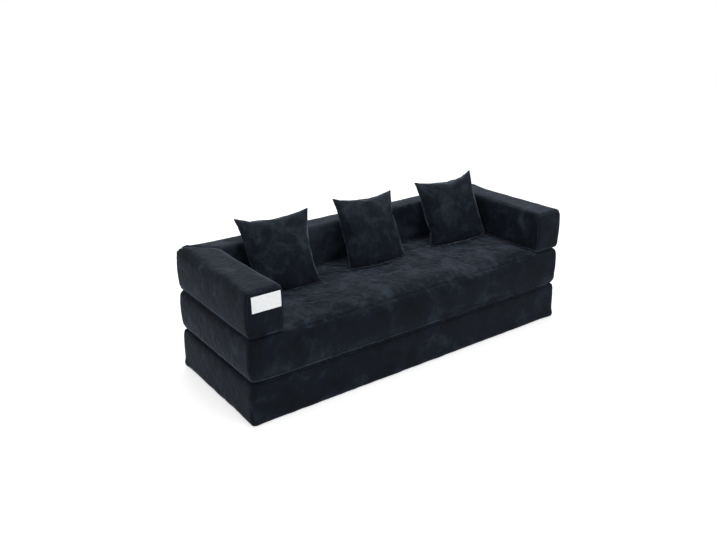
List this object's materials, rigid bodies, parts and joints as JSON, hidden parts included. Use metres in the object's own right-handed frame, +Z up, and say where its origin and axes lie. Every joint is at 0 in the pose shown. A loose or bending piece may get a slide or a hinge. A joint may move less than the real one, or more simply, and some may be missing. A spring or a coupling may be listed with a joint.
{
  "type": "modular sofa bed",
  "caption": "Foam sofa bed of a folding base and seat block, a lift-off bolster with back and arms, and loose throw pillows, all in dark plush covers with hidden zips.",
  "frame": {"origin": "centre of the base block's underside, on the floor", "axes": "+X along the sofa towards its right end seen from the front, +Y to the back, +Z up"},
  "size_m": [2.0322, 0.7621, 0.8173],
  "materials": {
    "velour": "matte",
    "foam": "matte",
    "fibre_fill": "matte",
    "tape": "matte",
    "zip_metal": "satin",
    "label": "satin"
  },
  "bodies": {
    "seat": {"seat_cover": "velour", "seat_foam": "foam", "seat_zip": "tape", "seat_loop_strips": "tape", "fold_tape_upper": "tape"},
    "base": {"base_cover": "velour", "base_foam": "foam", "base_zip": "tape", "fold_tape_lower": "tape"},
    "bolster": {"back_cover": "velour", "back_foam": "foam", "left_arm_cover": "velour", "left_arm_foam": "foam", "right_arm_cover": "velour", "right_arm_foam": "foam", "corner_seam_tapes": "tape", "bolster_zip": "tape", "bolster_hook_strips": "tape", "arm_label": "label"},
    "left_pillow": {"left_pillow_cover": "velour", "left_pillow_fill": "fibre_fill", "left_pillow_zip": "tape"},
    "middle_pillow": {"middle_pillow_cover": "velour", "middle_pillow_fill": "fibre_fill", "middle_pillow_zip": "tape"},
    "right_pillow": {"right_pillow_cover": "velour", "right_pillow_fill": "fibre_fill", "right_pillow_zip": "tape"},
    "base_slider": {"base_zip_slider": "zip_metal"},
    "seat_slider": {"seat_zip_slider": "zip_metal"},
    "bolster_slider": {"bolster_zip_slider": "zip_metal"},
    "left_pillow_slider": {"left_pillow_zip_slider": "zip_metal"},
    "middle_pillow_slider": {"middle_pillow_zip_slider": "zip_metal"},
    "right_pillow_slider": {"right_pillow_zip_slider": "zip_metal"}
  },
  "joints": [
    {"name": "base_fold", "type": "hinge", "parent": "seat", "child": "base", "pos_m": [0, -0.3785, 0.223], "axis": [-1, 0, 0], "range_deg": [0, 180]},
    {"name": "bolster_lift", "type": "slide", "parent": "seat", "child": "bolster", "axis": [0, 0.5, 0.866], "range_m": [0, 0.55]},
    {"name": "left_pillow_lift", "type": "slide", "parent": "seat", "child": "left_pillow", "axis": [0, 0, 1], "range_m": [0, 0.45]},
    {"name": "middle_pillow_lift", "type": "slide", "parent": "seat", "child": "middle_pillow", "axis": [0, 0, 1], "range_m": [0, 0.45]},
    {"name": "right_pillow_lift", "type": "slide", "parent": "seat", "child": "right_pillow", "axis": [0, 0, 1], "range_m": [0, 0.45]},
    {"name": "base_zip_travel", "type": "slide", "parent": "base", "child": "base_slider", "axis": [1, 0, 0], "range_m": [0, 1.616]},
    {"name": "seat_zip_travel", "type": "slide", "parent": "seat", "child": "seat_slider", "axis": [1, 0, 0], "range_m": [0, 1.616]},
    {"name": "bolster_zip_travel", "type": "slide", "parent": "bolster", "child": "bolster_slider", "axis": [1, 0, 0], "range_m": [0, 1.616]},
    {"name": "left_pillow_zip_travel", "type": "slide", "parent": "left_pillow", "child": "left_pillow_slider", "axis": [0.9923, -0.124, -0.0048], "range_m": [0, 0.205]},
    {"name": "middle_pillow_zip_travel", "type": "slide", "parent": "middle_pillow", "child": "middle_pillow_slider", "axis": [0.9988, 0.0417, -0.0239], "range_m": [0, 0.205]},
    {"name": "right_pillow_zip_travel", "type": "slide", "parent": "right_pillow", "child": "right_pillow_slider", "axis": [0.9954, -0.0868, 0.0398], "range_m": [0, 0.205]}
  ]
}
